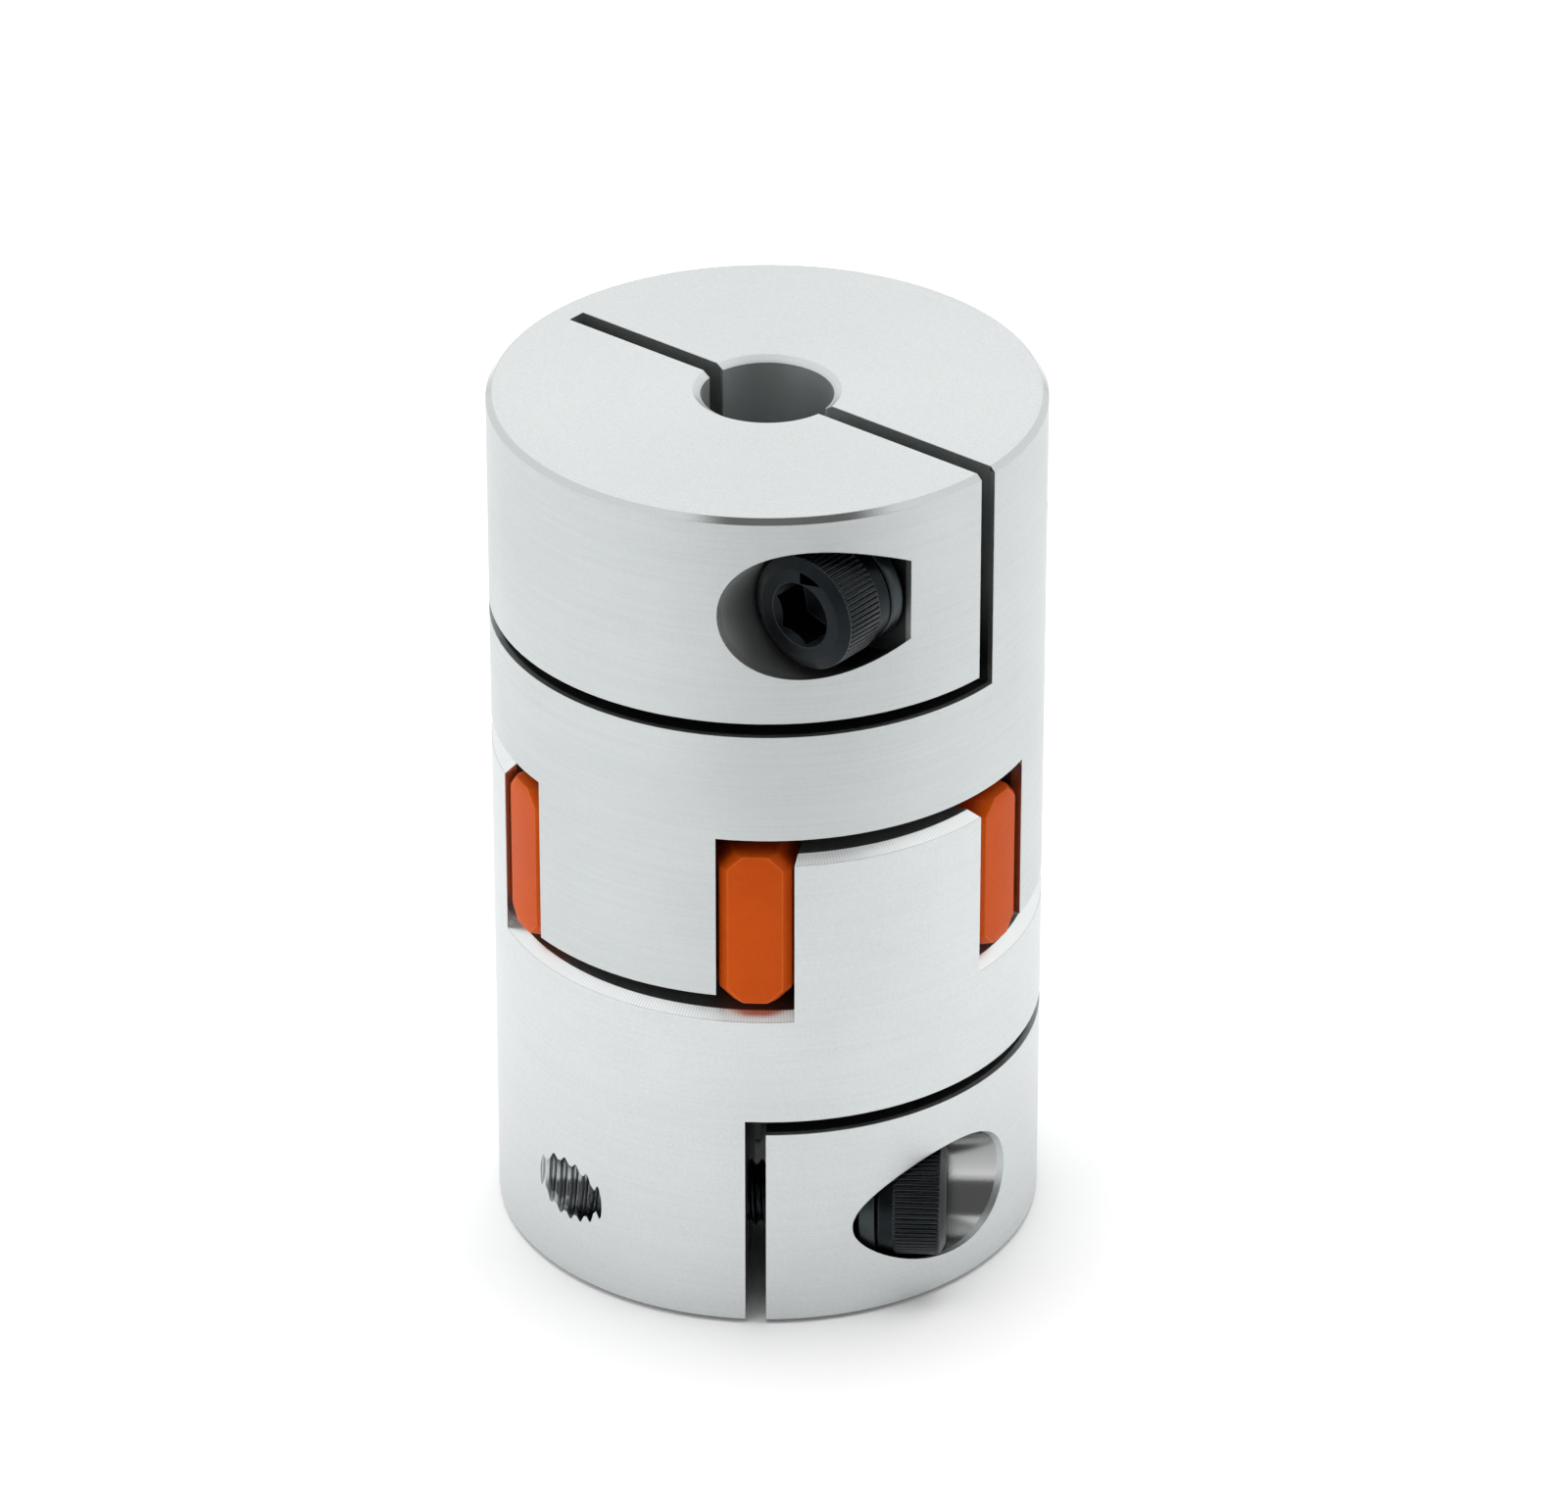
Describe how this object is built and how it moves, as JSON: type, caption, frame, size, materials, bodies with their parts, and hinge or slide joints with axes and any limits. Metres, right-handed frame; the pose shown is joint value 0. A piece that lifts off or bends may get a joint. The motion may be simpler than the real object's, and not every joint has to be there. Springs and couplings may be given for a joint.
{
  "type": "jaw coupling",
  "caption": "Backlash-free jaw coupling: two slit aluminium clamp hubs with interlocking jaws round an elastic spider, closed on the shafts by socket head screws.",
  "frame": {"origin": "centre of the lower hub's outer end face, on the common axis of the two bores", "axes": "+Z along the shafts from the lower hub to the upper hub; -Y through the lower hub's slit, on the side where it is open; +X towards the head of the lower clamp screw"},
  "size_m": [0.04, 0.0416, 0.066],
  "materials": {
    "hub_aluminium": "satin turned and fine blasted",
    "spider_elastomer": "satin moulded polyurethane",
    "screw_black_steel": "black oxide, knurled head",
    "washer_black_steel": "black oxide spring steel"
  },
  "bodies": {
    "lower_hub": {"lower_hub": "hub_aluminium"},
    "spider": {"spider": "spider_elastomer"},
    "upper_hub": {"upper_hub": "hub_aluminium"},
    "lower_lock_washer": {"lower_lock_washer": "washer_black_steel"},
    "lower_clamp_screw": {"lower_clamp_screw": "screw_black_steel"},
    "upper_lock_washer": {"upper_lock_washer": "washer_black_steel"},
    "upper_clamp_screw": {"upper_clamp_screw": "screw_black_steel"}
  },
  "joints": [
    {"name": "spider_wind_up", "type": "hinge", "parent": "lower_hub", "child": "spider", "pos_m": [0, 0, 0.033], "axis": [0, 0, 1], "range_deg": [-0.6, 0.6], "stiffness_Nm_per_rad": 40},
    {"name": "upper_hub_pull_off", "type": "slide", "parent": "spider", "child": "upper_hub", "axis": [0, 0, 1], "range_m": [0, 0.015]},
    {"name": "lower_screw_back_out", "type": "slide", "parent": "lower_hub", "child": "lower_lock_washer", "axis": [1, 0, 0], "range_m": [0, 0.0064]},
    {"name": "lower_screw_turn", "type": "hinge", "parent": "lower_lock_washer", "child": "lower_clamp_screw", "pos_m": [0.00865, -0.0142, 0.00765], "axis": [1, 0, 0], "range_deg": [0, 2880.1]},
    {"name": "upper_screw_back_out", "type": "slide", "parent": "upper_hub", "child": "upper_lock_washer", "axis": [-0.6018, -0.7986, 0], "range_m": [0, 0.0064]},
    {"name": "upper_screw_turn", "type": "hinge", "parent": "upper_lock_washer", "child": "upper_clamp_screw", "pos_m": [0.00613, -0.01545, 0.05835], "axis": [-0.6018, -0.7986, 0], "range_deg": [0, 2880.1]}
  ],
  "couplings": [
    {"joint": "lower_screw_turn", "follows": "lower_screw_back_out", "rad_per_m": 7854},
    {"joint": "upper_screw_turn", "follows": "upper_screw_back_out", "rad_per_m": 7854}
  ]
}
